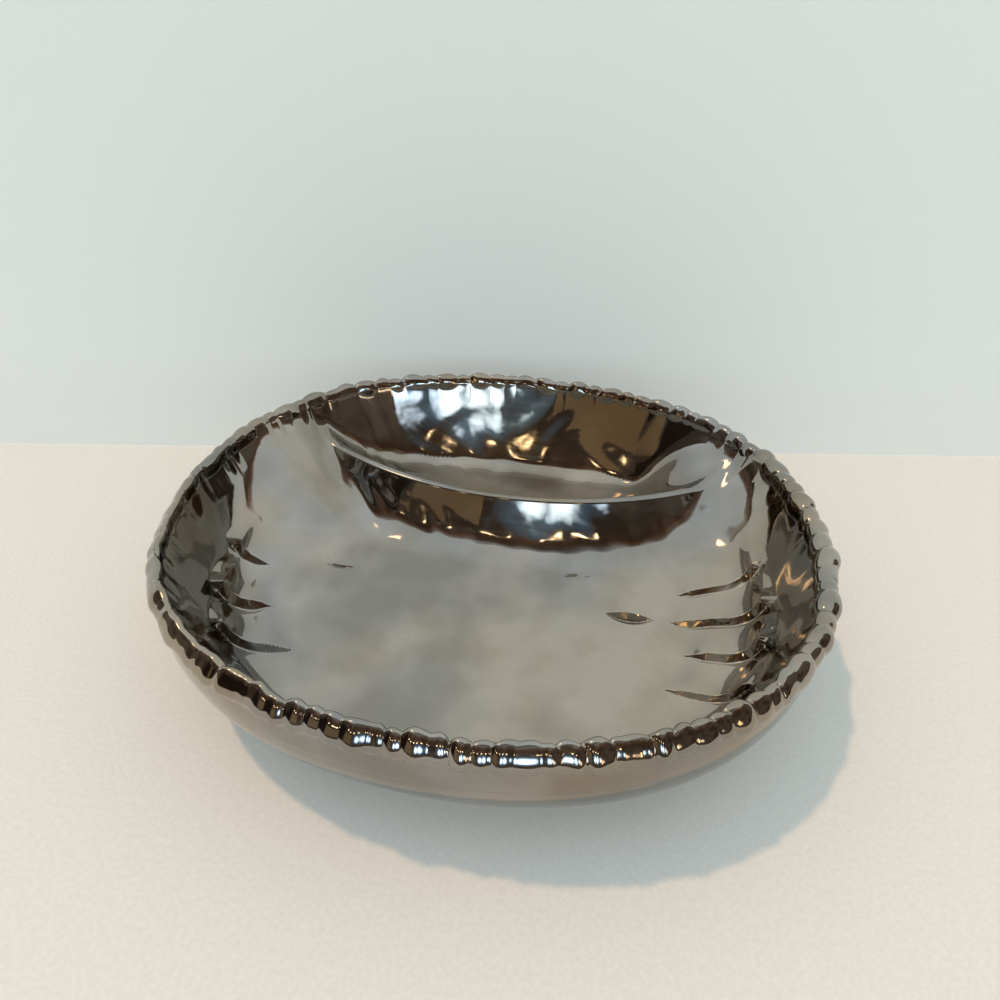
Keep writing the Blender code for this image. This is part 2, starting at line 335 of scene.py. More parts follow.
def ridge(x, y):
    """Height of the divider alone, far below the floor away from its arc, and how near an end it is."""
    away = np.hypot(x, ARC_CENTRE - y) - ARC_RADIUS
    turn = np.abs(np.arctan2(x, ARC_CENTRE - y))
    past = np.clip((turn - END_FLARE_START) / (ARC_SWEEP - END_FLARE_START), 0, END_LIMIT)
    flare = 1 + END_FLARE * np.clip(turn / ARC_SWEEP, 0, END_LIMIT) ** END_FLARE_CURVE
    reach = np.abs(away) / flare
    crest_half = CREST_RADIUS * math.sin(FLANK_TOP)
    crest = np.minimum(reach, crest_half)
    crest_drop = CREST_RADIUS - np.sqrt(CREST_RADIUS ** 2 - crest ** 2)

    def flank(radius, foot):
        """Drop along a hollow flank that eases from the crest's slope to its own foot slope."""
        run = radius * (math.sin(FLANK_TOP) - math.sin(foot))
        part = np.clip(reach - crest_half, 0, run)
        rise = np.sqrt(1 - (math.sin(FLANK_TOP) - part / radius) ** 2)
        beyond = np.maximum(reach - crest_half - run, 0) * math.tan(foot)
        return radius * (rise - math.cos(FLANK_TOP)) + beyond

    drop = np.where(away > 0, flank(FLANK_RADIUS, FLANK_FOOT), flank(DIP_FLANK_RADIUS, DIP_FLANK_FOOT))
    deeper = 1 + FACE_DENT_LEFT * ease(*FACE_DENT_LEFT_BAND, -x)
    worked = FACE_DENT * deeper * ease(*FACE_DENT_START, reach)
    drop = drop + worked * lumps(x, 1.4 * away, FACE_DENT_SIZE)
    return CREST_HEIGHT - crest_drop - drop, past


def pinched_edge(ahead, tall, deep):
    """Height of a pinched edge: an even, steep side ahead of its crest, a soft back and a scoop before it."""
    wide = np.maximum(tall / PINCH_SLOPE, 0.01 * MM)
    steep = -join_high(-join_high(1.1 - ahead / wide, 0, 0.1), -1, 0.1)
    scoop = deep * np.exp(-((ahead - SCOOP_AHEAD) / SCOOP_HALF) ** 2)
    return tall * np.where(ahead > 0, steep, np.exp(-(ahead / PINCH_BACK) ** 2)) - scoop


def relief(turn, radius, height, slope, x, y):
    """How far the hand-worked surface stands proud of the plain one, along its own normal."""
    inward = TURNED_RADIUS - radius
    up_wall = np.where(slope < WALL_FOOT, CORNER_RADIUS * slope,
                       CORNER_RADIUS * WALL_FOOT + WALL_RADIUS * (slope - WALL_FOOT))
    unrolled = np.minimum(radius, FLAT_RADIUS) + up_wall
    u, v = unrolled * np.cos(turn), unrolled * np.sin(turn)
    on_wall = ease(*LUMP_START, up_wall)
    at_back = ease(0.3, 0.8, np.sin(turn))
    low_down = 1 - ease(*LUMP_LOW_BAND, up_wall)
    depth = LUMP_DEPTH + LUMP_BACK * at_back + LUMP_BACK_LOW * at_back * low_down
    proud = on_wall * depth * MM * lumps(u, v, LUMP_SIZE)
    for place, lean, tall, lost, reach in PINCHES:
        out = np.clip((inward - PINCH_BASE) / (reach * MM - PINCH_BASE), 0, 1)
        swing = turn - np.radians(place + lean * out)
        ahead = -np.sin(swing) * radius * np.where(np.cos(turn) > 0, 1, -1)
        start = ease(*PINCH_START, inward)
        length = start * (1 - ease((reach - PINCH_TIP) * MM, reach * MM, inward))
        deep = SCOOP_DEPTH * tall * MM * start * (1 - ease(SCOOP_FADE, (reach - SCOOP_SHORT) * MM, inward))
        edge = pinched_edge(ahead, tall * MM * (1 - lost * out) * length, deep)
        proud = proud + np.where(np.cos(swing) > 0, edge, 0)
    for east, north, half, wide, bow in FLOOR_NICKS:
        along = 1 - ((x - east * MM) / (half * MM)) ** 2
        ahead = north * MM - y + bow * MM * along
        far, near = PINCH_SLOPE * ahead, NICK_NEAR_SLOPE * (wide * MM * along - ahead)
        proud = proud - join_high(-join_high(-far, -near, NICK_BOTTOM), 0, NICK_EDGE)
    for east, north, half_long, half_wide, deep in FLOOR_DENTS:
        away = ((x - east * MM) / (half_long * MM)) ** 2 + ((y - north * MM) / (half_wide * MM)) ** 2
        proud = proud - deep * MM * np.exp(-away)
    for place, level, half, deep in WALL_DENTS:
        swing = turn - math.radians(place)
        away = (np.sin(swing) * radius) ** 2 + (height - level * MM) ** 2
        mark = deep * MM * np.exp(-away / (half * MM) ** 2)
        proud = proud - np.where(np.cos(swing) > 0, mark, 0)
    return proud


def well(x, y):
    """Height of the whole inner side, how far the divider lifts it, and the divider's lead over the bowl."""
    turn, radius = oval_read(x, y)
    height, slope = bowl(radius)
    plain = height + relief(turn, radius, height, slope, x, y) / np.cos(slope)
    inward = TURNED_RADIUS - radius
    join = RAMP_JOIN_WALL + (RAMP_JOIN_FLOOR - RAMP_JOIN_WALL) * ease(*RAMP_JOIN_BAND, inward)
    for place, front_fall, front_run, back, pitch in RAMPS:
        swing = np.degrees(np.arctan2(np.sin(turn - math.radians(place)), np.cos(turn - math.radians(place))))
        front = np.hypot(swing, RAMP_ROUND) - RAMP_ROUND
        fall = np.where(swing * math.cos(math.radians(place)) < 0,
                        front_fall * MM * (1 - np.exp(-front / front_run)), RAMP_FALL * (swing / back) ** 2)
        plain = join_high(plain, RAMP_TOP - pitch * (inward - RAMP_START) - fall, join)
    away = np.hypot(x, ARC_CENTRE - y) - ARC_RADIUS
    before = np.exp(-np.maximum(away - FACE_RUN, 0) / FLOOR_RISE_RUN)
    plain = plain + FLOOR_RISE * before * ease(0, FACE_RUN / 2, away)
    top, past = ridge(x, y)
    reach = FILLET + (END_FILLET - FILLET) * ease(0.1, 1, past)
    whole = join_high(plain, top, reach)
    return whole, whole - plain, (top - plain) / reach


def well_normal(x, y):
    """Upward normal of the inner side at plan points."""
    step = 0.05 * MM
    east = (well(x + step, y)[0] - well(x - step, y)[0]) / (2 * step)
    north = (well(x, y + step)[0] - well(x, y - step)[0]) / (2 * step)
    normal = np.stack([-east, -north, np.ones_like(east)], axis=-1)
    return normal / np.linalg.norm(normal, axis=-1, keepdims=True)


def belly(height):
    """How far the filled-out outer side stands beyond a wall of even thickness."""
    top = LIP_HEIGHT - WALL_THICK * math.cos(WALL_TOP)
    drop = np.clip((top - height) / (top - FLOOR_HEIGHT + WALL_THICK), 0, 1)
    return WALL_BELLY * drop * (1 - drop ** 2) / BELLY_PEAK


def outer_radius(height):
    """Turned radius of the outer side of the wall at a height above the foot."""
    corner_reach = CORNER_RADIUS + WALL_THICK
    wall_reach = WALL_RADIUS + WALL_THICK
    corner_centre = FLOOR_HEIGHT + CORNER_RADIUS
    corner = FLAT_RADIUS + np.sqrt(np.maximum(corner_reach ** 2 - (corner_centre - height) ** 2, 0))
    wall = WALL_CENTRE + np.sqrt(np.maximum(wall_reach ** 2 - (WALL_CENTRE_HEIGHT - height) ** 2, 0))
    turned = corner_centre - corner_reach * math.cos(WALL_FOOT)
    return np.where(height < turned, corner, wall) + belly(height)


# ================================================================ meshes

def loft(name, grid, normals=None, rows_wrap=False, ends="open"):
    """A skin over rows of points; each row closes on itself, and the ends may close on a point or a face."""
    rows, columns = grid.shape[:2]
    places = grid.reshape(-1, 3)
    number = np.arange(rows * columns).reshape(rows, columns)
    ahead = np.roll(number, -1, axis=1)
    if rows_wrap:
        lower, upper = number, np.roll(number, -1, axis=0)
        lower_ahead, upper_ahead = ahead, np.roll(ahead, -1, axis=0)
    else:
        lower, upper, lower_ahead, upper_ahead = number[:-1], number[1:], ahead[:-1], ahead[1:]
    faces = np.stack([lower, lower_ahead, upper_ahead, upper], axis=-1).reshape(-1, 4).tolist()
    if ends == "point":
        poles = np.stack([grid[0].mean(axis=0), grid[-1].mean(axis=0)])
        places = np.concatenate([places, poles])
        first, last = rows * columns, rows * columns + 1
        faces += [(first, b, a) for a, b in zip(number[0].tolist(), ahead[0].tolist())]
        faces += [(last, a, b) for a, b in zip(number[-1].tolist(), ahead[-1].tolist())]
    if ends == "face":
        faces += [number[0].tolist(), number[-1].tolist()]
    mesh = bpy.data.meshes.new(name)
    mesh.from_pydata(places.tolist(), [], faces)
    form = bmesh.new()
    form.from_mesh(mesh)
    bmesh.ops.recalc_face_normals(form, faces=form.faces)
    if form.calc_volume(signed=True) < 0:
        bmesh.ops.reverse_faces(form, faces=form.faces)
    form.to_mesh(mesh)
    form.free()
    mesh.shade_smooth()
    if normals is not None:
        flat = np.zeros((len(places), 3))
        flat[:rows * columns] = normals.reshape(-1, 3)
        mesh.normals_split_custom_set_from_vertices(flat.tolist())
    piece = bpy.data.objects.new(name, mesh)
    bpy.context.scene.collection.objects.link(piece)
    return piece


def dress(piece, material, slot, *nodes):
    """Gives a piece its finish, and lets it ride on the tray in place of its solids."""
    piece.data.materials.append(material)
    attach(piece, "root")
    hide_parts(*nodes)


def dish_turns(count):
    """Turns round the dish, three times closer together where pinched edges cross the floor."""
    turn = np.linspace(0, 2 * math.pi, 3601)
    side = np.sin(turn)
    close = 1 + 2 * ease(-0.78, -0.70, side) * (1 - ease(0.20, 0.30, side))
    run = np.concatenate([[0], np.cumsum((close[1:] + close[:-1]) / 2)])
    return np.interp(np.linspace(0, run[-1], count, endpoint=False), run, turn)


def make_dish(material):
    """The dish: floor, wall and underside in one skin, its lip tucked into the bead rim."""
    turn = dish_turns(DISH_COLUMNS)[None, :]
    inner = np.concatenate([
        FLAT_RADIUS * np.linspace(0, 0.5, 9)[1:],
        FLAT_RADIUS * np.linspace(0.5, 1, 39)[1:],
        FLAT_RADIUS + CORNER_RADIUS * np.sin(np.linspace(0, WALL_FOOT, 22)[1:]),
        WALL_CENTRE + WALL_RADIUS * np.sin(np.linspace(WALL_FOOT, WALL_TOP, 22)[1:]),
    ])[:, None] + 0 * turn
    x, y = oval(turn + 0 * inner, inner)
    height, lift, _ = well(x, y)
    tuck = TUCK_DEPTH * ease(TUCK_LIFT, 1.5 * MM, lift)
    height = height - lift + np.minimum(lift, TUCK_LIFT) - tuck
    height = height - RIM_SINK * ease(*RIM_SINK_BAND, height)
    skin = [np.stack([x, y, height], axis=-1)]
    normals = [well_normal(x, y)]
    slope = np.concatenate([np.linspace(WALL_TOP, WALL_FOOT, 11)[1:], np.linspace(WALL_FOOT, 0, 11)[1:]])
    slope = slope[:, None]
    corner = slope <= WALL_FOOT
    reach = np.where(corner, CORNER_RADIUS, WALL_RADIUS) + WALL_THICK
    radius = np.where(corner, FLAT_RADIUS, WALL_CENTRE) + reach * np.sin(slope)
    level = np.where(corner, FLOOR_HEIGHT + CORNER_RADIUS, WALL_CENTRE_HEIGHT) - reach * np.cos(slope)
    radius = radius + belly(level)
    lip_level = LIP_HEIGHT - 1.6 * MM
    lip = np.array([[LIP_RADIUS + 1.2 * MM, lip_level], [LIP_RADIUS + 3.8 * MM, lip_level]])
    base = FLAT_RADIUS * np.linspace(1, 0, 12)[1:-1]
    radius = np.concatenate([lip[:, :1], radius, base[:, None]]) + 0 * turn
    level = np.concatenate([lip[:, 1:], level, np.full((10, 1), FLOOR_HEIGHT - WALL_THICK)]) + 0 * turn
    x, y = oval(turn + 0 * radius, radius)
    skin.append(np.stack([x, y, level], axis=-1))
    normals.append(np.zeros(skin[1].shape))
    piece = loft("glazed_dish", np.concatenate(skin), np.concatenate(normals), ends="point")
    dress(piece, material, "platinum_lustre", "dish")


def bead_run():
    """Turn at which each bead of the rim begins, with the closing turn last, and each bead's size."""
    index = np.arange(BEAD_COUNT)
    uneven = np.sin(2.4 * index + 1.3 * np.sin(0.7 * index))
    turn = np.linspace(0, 2 * math.pi, 2881)
    x, y = oval(turn, TURNED_RADIUS + 0 * turn)
    run = np.concatenate([[0], np.cumsum(np.hypot(np.diff(x), np.diff(y)))])
    at_front = ease(0.3, 0.9, -np.sin(2 * math.pi * index / BEAD_COUNT))
    spans = (1 + BEAD_SPAN_SPREAD * uneven) * (1 - BEAD_SPAN_FRONT * at_front)
    edges = np.concatenate([[0], np.cumsum(spans)]) * run[-1] / spans.sum()
    return np.interp(edges, run, turn), 1 + BEAD_SIZE_SPREAD * uneven


def roof_section(slopes):
    """Out and up of the pressed-over bead section at given slopes, for a bead radius of one."""
    fine = np.radians(np.linspace(-90, 90, 721))
    crest, face, hem = ROOF_RADII
    first, second = np.radians(ROOF_SLOPES)
    bend = crest + (face - crest) * ease(first - 0.1, first + 0.1, fine)
    bend = (bend + (hem - face) * ease(second - 0.1, second + 0.1, fine)) * MM / BEAD_RADIUS
    step = fine[1] - fine[0]
    out = np.cumsum(bend * np.cos(fine)) * step
    up = -np.cumsum(bend * np.sin(fine)) * step
    out = out - out[-1] + ROOF_OUT
    up = up - up.max() + 1.03
    return np.interp(slopes, fine, out), np.interp(slopes, fine, up)


def back_section(slopes):
    """Out and up of the back beads' section at given slopes, for a bead radius of one."""
    fine = np.radians(np.linspace(-90, 90, 721))
    crest, face = BACK_RADII
    first, last = np.radians(BACK_SLOPES)
    bend = crest + (face - crest) * ease(first - 0.1, first + 0.1, -fine)
    bend = np.where(fine > 0, 1, bend * MM / BEAD_RADIUS)
    step = fine[1] - fine[0]
    out = np.cumsum(bend * np.cos(fine)) * step
    up = -np.cumsum(bend * np.sin(fine)) * step
    out = out - np.interp(-last, fine, out) - BACK_INNER
    up = up - up.max() + 1
    return np.interp(slopes, fine, out), np.interp(slopes, fine, up)


def make_bead_rim(material):
    """The bead rim: lumps pinched across the lip, hanging outside and running out into ribs inside."""
    edges, sizes = bead_run()
    chance = np.random.default_rng(7)
    share = np.array(BEAD_POINTS)
    bead = np.repeat(np.arange(BEAD_COUNT), len(share))
    along = np.tile(share, BEAD_COUNT)
    turn = edges[bead] + along * (edges[bead + 1] - edges[bead])
    necks = (BEAD_NECK + BEAD_NECK_SPREAD * chance.standard_normal(BEAD_COUNT)).clip(*BEAD_NECK_RANGE)
    sway = BEAD_SWAY * chance.standard_normal(BEAD_COUNT).clip(-BEAD_STRAY, BEAD_STRAY)
    rise = BEAD_RISE * chance.standard_normal(BEAD_COUNT).clip(-BEAD_STRAY, BEAD_STRAY)
    skew = BEAD_SKEW * chance.standard_normal(BEAD_COUNT).clip(-BEAD_STRAY, BEAD_STRAY)
    place = bead + along
    # shares round the rim: fuller and pressed over in front, smoothed at the left, drawn down behind, and
    # ribbed below the beads, though hardly behind and less at the right
    girth = 0.96 - 0.10 * np.sin(turn) + 0.05 * np.cos(turn + 0.9)
    pressed = ease(-0.35, 0.7, -np.sin(turn + 0.35))
    smoothed = ease(-0.2, 0.6, -np.cos(turn))
    behind = ease(0.35, 0.75, np.sin(turn))
    beside = (1 - 0.95 * ease(0.45, 0.8, np.sin(turn))) * (1 - 0.55 * ease(0.2, 0.8, np.cos(turn)))

    def swell(shift):
        """Bead radius and how far it is from its neck, looked up a little further along the rim."""
        at = (place + shift) % BEAD_COUNT
        here = np.floor(at).astype(int) % BEAD_COUNT
        part = at - np.floor(at)
        neck = (necks[here] * (1 - part) + necks[(here + 1) % BEAD_COUNT] * part)
        neck = neck + (0.15 * smoothed - 0.03) * pressed - 0.12 * behind
        dome = np.sin(math.pi * part)
        lump = np.minimum(np.sqrt(dome ** 1.5 + 0.004), 1) * (1 - pressed)
        lump = lump + dome ** (0.8 + 0.8 * smoothed) * pressed
        return BEAD_RADIUS * girth * (neck + (sizes[here] - neck) * lump), (1 - neck) * lump

    def carried(values):
        """A value of each bead, carried smoothly from one bead to the next."""
        ahead = ease(0, 1, (along + 0.5) % 1)
        lower = np.where(along < 0.5, bead - 1, bead) % BEAD_COUNT
        return values[lower] * (1 - ahead) + values[(lower + 1) % BEAD_COUNT] * ahead

    sway, rise, skew = carried(sway), carried(rise), carried(skew)
    centre = BEAD_HEIGHT + rise
    lowest = np.radians(90 - (90 - BACK_SLOPES[1]) * behind)
    slopes = -lowest + (lowest + math.pi / 2) * np.linspace(0, 1, 25)[:, None]
    roof_out, roof_up = roof_section(slopes)
    back_out, back_up = back_section(slopes)
    section_out = (1 - pressed - behind) * np.sin(slopes) + pressed * roof_out + behind * back_out
    section_up = (1 - pressed - behind) * np.cos(slopes) + pressed * roof_up + behind * back_up
    rows = []
    size, proud = swell(-skew)
    crest_in = centre + size * section_up[0]
    fixed = np.concatenate([[36.0, 36.5], np.linspace(38, 64, 16)]) * MM
    levels = [level + 0 * turn for level in fixed]
    levels += [fixed[-1] + (crest_in - 0.4 * MM - fixed[-1]) * part for part in np.linspace(0, 1, 11)[1:]]
    for level in levels:
        inner = np.full(len(turn), FLAT_RADIUS + CORNER_RUN / 2)
        outer = np.full(len(turn), LIP_RADIUS + 2 * MM)
        for _ in range(22):
            middle = (inner + outer) / 2
            above = well(*oval(turn, middle))[0] > level
            inner, outer = np.where(above, inner, middle), np.where(above, middle, outer)
        near = 1 - ease(*RIB_REACH, TURNED_RADIUS - inner)
        ribs = RIB_HEIGHT * beside * near * ease(*RIB_BAND, level) * (proud / 0.25 - 0.7)
        wall = TURNED_RADIUS - inner + ribs - RIM_SKIN_TUCK * (1 - ease(*RIM_SKIN_START, level))
        below = np.maximum(crest_in - level, 0)
        cap = -size * section_out[0] * np.sqrt(np.maximum(1 - (below / BEAD_RUN_OUT) ** 2, 0)) - sway
        cap = np.where(below < BEAD_RUN_OUT, cap, -1)
        rows.append((TURNED_RADIUS - join_high(wall, cap, RIM_FILLET_IN), level))
    for row in range(1, len(slopes)):
        size, _ = swell(skew * np.sin(slopes[row]))
        rows.append((TURNED_RADIUS + sway + size * section_out[row], centre + size * section_up[row]))
    size, _ = swell(skew)
    start = centre + size * section_up[-1]
    hang = ROOF_HANG * pressed + BEAD_HANG * (1 - pressed) * size / BEAD_RADIUS
    for drop in np.linspace(0, 1, 14)[1:]:
        level = start + (RIM_HEM - start) * drop
        cap = size * section_out[-1] * np.sqrt(np.maximum(1 - ((start - level) / hang) ** 2, 0)) + sway
        cap = np.where(start - level < hang, cap, -1)
        wall = outer_radius(level) - TURNED_RADIUS
        rows.append((TURNED_RADIUS + join_high(wall, cap, RIM_FILLET_OUT), level))
    for level, depth in RIM_TUCKS:
        rows.append((outer_radius(level * MM) - depth * MM + 0 * turn, level * MM + 0 * turn))
    radius = np.stack([r for r, _ in rows])
    level = np.stack([z for _, z in rows])
    x, y = oval(turn + 0 * radius, radius)
    normals = np.where(np.arange(len(rows))[:, None, None] < SMOOTH_ROWS, well_normal(x, y), 0)
    piece = loft("bead_rim", np.stack([x, y, level], axis=-1), normals, rows_wrap=True)
    dress(piece, material, "platinum_lustre", *[f"bead_strand_{i + 1:02d}" for i in range(12)])


def make_divider(material):
    """The divider: a ridge drawn along its arc, run out smoothly into the floor and both walls."""
    along = np.linspace(-ARC_SWEEP, ARC_SWEEP, 341)[:, None]
    half = np.concatenate([np.linspace(0, 3.2, 9), np.linspace(3.2, 24, 27)[1:], np.linspace(24, 46, 13)[1:]])
    half = half * MM
    flare = 1 + END_FLARE * (np.abs(along) / ARC_SWEEP) ** END_FLARE_CURVE
    reach = ARC_RADIUS + np.concatenate([-half[:0:-1], half])[None, :] * flare
    turn, radius = oval_read(reach * np.sin(along), ARC_CENTRE - reach * np.cos(along))
    radius = np.minimum(radius, LIP_RADIUS - 5 * MM)
    x, y = oval(turn, radius)
    height, lift, margin = well(x, y)
    sunk = 0.05 * MM * (1 - ease(0.05 * MM, 0.15 * MM, lift)) + 1.2 * MM * ease(1, 2.2, -margin)
    under = height - lift - 2.5 * MM / np.cos(bowl(radius)[1])
    top = np.stack([x, y, height - sunk], axis=-1)
    bottom = np.stack([x, y, under], axis=-1)[:, ::-1]
    normals = np.concatenate([well_normal(x, y), np.zeros(bottom.shape)], axis=1)
    piece = loft("glazed_divider", np.concatenate([top, bottom], axis=1), normals, ends="face")
    dress(piece, material, "platinum_lustre", "divider")


def make_foot_ring(material):
    """The ring the tray stands on, wiped clean of glaze and rubbed smooth."""
    turn = np.linspace(0, 2 * math.pi, 288, endpoint=False)[None, :]
    side = np.linspace(0, math.pi / 2, 5)
    worn = FOOT_EASE * 1.5
    profile = [(FOOT_INNER, FOOT_HEIGHT + 0.25 * MM), (FOOT_OUTER, FOOT_HEIGHT + 0.25 * MM)]
    profile += [(FOOT_OUTER - worn + worn * math.cos(a), worn - worn * math.sin(a)) for a in side]
    profile += [(FOOT_INNER + worn - worn * math.sin(a), worn - worn * math.cos(a)) for a in side]
    profile = np.array(profile)[:, :, None] + 0 * turn
    x, y = oval(turn + 0 * profile[:, 0], profile[:, 0])
    piece = loft("foot_ring_biscuit", np.stack([x, y, profile[:, 1]], axis=-1), rows_wrap=True)
    dress(piece, material, "unglazed_porcelain", "foot_ring")


# ================================================================ studio

def set_camera():
    """The eye, where the photograph was taken from."""
    lens = bpy.data.cameras.new("eye")
    lens.lens = EYE_LENS
    lens.sensor_width = EYE_SENSOR
    lens.clip_start = 0.01
    camera = bpy.data.objects.new("eye", lens)
    level = Matrix.Rotation(EYE_TURN, 4, "Z") @ Matrix.Rotation(math.pi / 2 - EYE_PITCH, 4, "X")
    camera.matrix_world = Matrix.Translation(EYE) @ level @ Matrix.Rotation(EYE_ROLL, 4, "Z")
    bpy.context.scene.collection.objects.link(camera)
    bpy.context.scene.camera = camera


def flat_sheet(name, centre, across, up, material, seen=True):
    """A four-cornered sheet of the studio, given by its centre and its two half sides."""
    corners = [centre - across - up, centre + across - up, centre + across + up, centre - across + up]
    mesh = bpy.data.meshes.new(name)
    mesh.from_pydata(corners, [], [(0, 1, 2, 3)])
    spread = mesh.uv_layers.new(name="spread")
    for loop, uv in zip(spread.data, ((0, 0), (1, 0), (1, 1), (0, 1))):
        loop.uv = uv
    mesh.materials.append(material)
    sheet = bpy.data.objects.new(name, mesh)
    bpy.context.scene.collection.objects.link(sheet)
    sheet.visible_camera = seen
    sheet.visible_shadow = seen
    sheet.visible_diffuse = seen
    return sheet


def painted_board(name, pale, deep):
    """Board rolled with matt emulsion: pale, without gloss, with the soft grain that a roller leaves."""
    material, tree = new_material(name)
    place = add(tree, "TexCoord").outputs["Object"]
    grain = add(tree, "TexNoise", {"Vector": place, "Scale": 1 / ROLLER_GRAIN, "Detail": 3.0})
    tone = add(tree, "ValToRGB", {0: grain.outputs[0]}, ((0.3, deep), (0.7, pale)))
    rough = add(tree, "MapRange", {"Value": grain.outputs[0], "To Min": 0.82, "To Max": 0.95})
    skin = add(tree, "Bump", {"Height": grain.outputs[0], "Strength": 0.15, "Distance": 0.15 * MM})
    shade = add(tree, "BsdfPrincipled", {"Base Color": tone.outputs[0], "Roughness": rough.outputs[0],
                                         "Normal": skin.outputs[0]})
    add(tree, "OutputMaterial", {"Surface": shade.outputs[0]})
    return material


def backdrop_paint():
    """Backdrop seen at its own pale tone by the eye and in the glaze, and open to anything behind it."""
    material, tree = new_material("backdrop_emulsion")
    path = add(tree, "LightPath")
    paint = add(tree, "BsdfDiffuse", {"Color": linear("#DFE1DE")})
    tone = add(tree, "Emission", {"Color": linear("#CFD2D2"), "Strength": 0.17})
    pale = add(tree, "AddShader", {0: tone.outputs[0], 1: paint.outputs[0]})
    shine = add(tree, "Emission", {"Color": linear("#D6D8D6"), "Strength": 0.38})
    bright = add(tree, "AddShader", {0: shine.outputs[0], 1: paint.outputs[0]})
    plain = add(tree, "MixShader", {0: path.outputs["Is Camera Ray"], 1: paint.outputs[0],
                                    2: pale.outputs[0]})
    front = add(tree, "MixShader", {0: path.outputs["Is Glossy Ray"], 1: plain.outputs[0],
                                    2: bright.outputs[0]})
    side = add(tree, "NewGeometry")
    clear = add(tree, "BsdfTransparent")
    whole = add(tree, "MixShader", {0: side.outputs["Backfacing"], 1: front.outputs[0], 2: clear.outputs[0]})
    add(tree, "OutputMaterial", {"Surface": whole.outputs[0]})
    return material


def glow(name, code, strength):
    """A lit panel of the studio."""
    material, tree = new_material(name)
    light = add(tree, "Emission", {"Color": linear(code), "Strength": strength})
    add(tree, "OutputMaterial", {"Surface": light.outputs[0]})
    return material


def soft_glow(name, code, strength, falloff=2.2):
    """A panel that melts into the room round it; the falloff says how much of it is only its soft edge."""
    material, tree = new_material(name)
    spread = add(tree, "TexCoord")
    middle = add(tree, "Mapping", {"Vector": spread.outputs["UV"], "Location": (-1.0, -1.0, 0.0),
                                   "Scale": (2.0, 2.0, 0.0)})
    round_off = add(tree, "TexGradient", {"Vector": middle.outputs[0]}, gradient_type="SPHERICAL")
    fade = add(tree, "Math", {0: round_off.outputs["Fac"], 1: falloff}, operation="POWER")
    light = add(tree, "Emission", {"Color": linear(code), "Strength": strength})
    clear = add(tree, "BsdfTransparent")
    whole = add(tree, "MixShader", {0: fade.outputs[0], 1: clear.outputs[0], 2: light.outputs[0]})
    add(tree, "OutputMaterial", {"Surface": whole.outputs[0]})
    return material


def card(name, bearings, climbs, material, distance=2.6):
    """A curved panel round the tray, between two bearings from the line of sight and two elevations."""
    bearing = np.radians(np.linspace(*bearings, 25))[None, :, None]
    climb = np.radians(np.linspace(*climbs, 9))[:, None, None]
    ahead = np.cos(bearing) * np.array(SIGHT) + np.sin(bearing) * np.array(SIDEWAYS)
    places = distance * (np.cos(climb) * ahead + np.sin(climb) * np.array(UPWARD))
    number = np.arange(25 * 9).reshape(9, 25)
    faces = np.stack([number[:-1, :-1], number[:-1, 1:], number[1:, 1:], number[1:, :-1]], axis=-1)
    mesh = bpy.data.meshes.new(name)
    mesh.from_pydata(places.reshape(-1, 3).tolist(), [], faces.reshape(-1, 4).tolist())
    spread = mesh.uv_layers.new(name="spread")
    for loop in mesh.loops:
        spread.data[loop.index].uv = (loop.vertex_index % 25 / 24, loop.vertex_index // 25 / 8)
    mesh.materials.append(material)
    panel = bpy.data.objects.new(name, mesh)
    bpy.context.scene.collection.objects.link(panel)
    panel.visible_camera = False
    panel.visible_shadow = False
    panel.visible_diffuse = False


def dim_cloth():
    """The dim end of the studio: brown cloth in soft folds that melts into the pale ceiling at its top."""
    material, tree = new_material("dim_cloth")
    spot = add(tree, "NewGeometry")
    apart = add(tree, "SeparateXYZ", {0: spot.outputs["Position"]})
    climb = add(tree, "Math", {0: apart.outputs["Z"], 1: DIM_DISTANCE}, operation="DIVIDE")
    fade = ((0.0, "#74695F"), (0.45, "#74695F"), (0.54, "#7C6250"), (0.62, "#A68E7A"), (0.70, "#ECECE8"))
    tones = add(tree, "ValToRGB", {0: climb.outputs[0]}, fade)
    folds = add(tree, "TexNoise", {"Vector": spot.outputs["Position"], "Scale": 1 / FOLD_SIZE, "Detail": 2.0})
    shade = add(tree, "ValToRGB", {0: folds.outputs[0]}, ((0.36, "#B4AEA6"), (0.62, "#FFFFFF")))
    cloth = add(tree, "MixRGB", {"Fac": 1.0, "Color1": tones.outputs[0], "Color2": shade.outputs[0]},
                blend_type="MULTIPLY")
    light = add(tree, "Emission", {"Color": cloth.outputs[0], "Strength": 1.0})
    add(tree, "OutputMaterial", {"Surface": light.outputs[0]})
    return material


